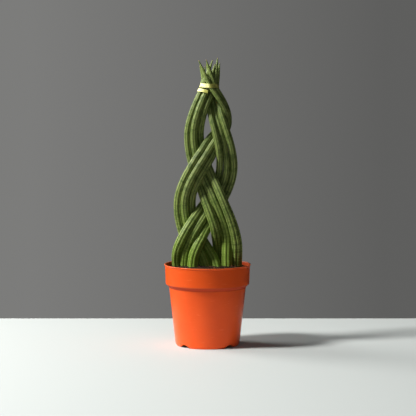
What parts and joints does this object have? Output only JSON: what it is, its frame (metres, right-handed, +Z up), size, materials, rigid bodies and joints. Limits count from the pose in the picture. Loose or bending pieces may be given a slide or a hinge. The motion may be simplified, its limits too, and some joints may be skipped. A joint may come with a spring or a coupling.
{
  "type": "cylindrical snake plant",
  "caption": "Potted succulent: tall round ridged leaves plaited together and tied below their tips, in a round nursery pot.",
  "frame": {"origin": "middle of the pot's foot, on the surface that it stands on", "axes": "+Z up; the front of the plait looks towards -Y, with +X to the right"},
  "size_m": [0.12, 0.12, 0.3977],
  "materials": {
    "pot_plastic": "smooth injection-moulded orange plastic, satin",
    "potting_soil": "dark moist peat and bark crumbs",
    "leaf": "firm waxy grey-green leaf with long ridges and faint cross bands",
    "tie": "thin pale flat strip, satin"
  },
  "bodies": {
    "root": {"pot": "pot_plastic", "soil": "potting_soil", "tie_strip": "tie", "leaf_left_1": "leaf", "leaf_left_2": "leaf", "leaf_left_3": "leaf", "leaf_middle_1": "leaf", "leaf_middle_2": "leaf", "leaf_middle_3": "leaf", "leaf_right_1": "leaf", "leaf_right_2": "leaf", "leaf_right_3": "leaf"}
  },
  "joints": []
}
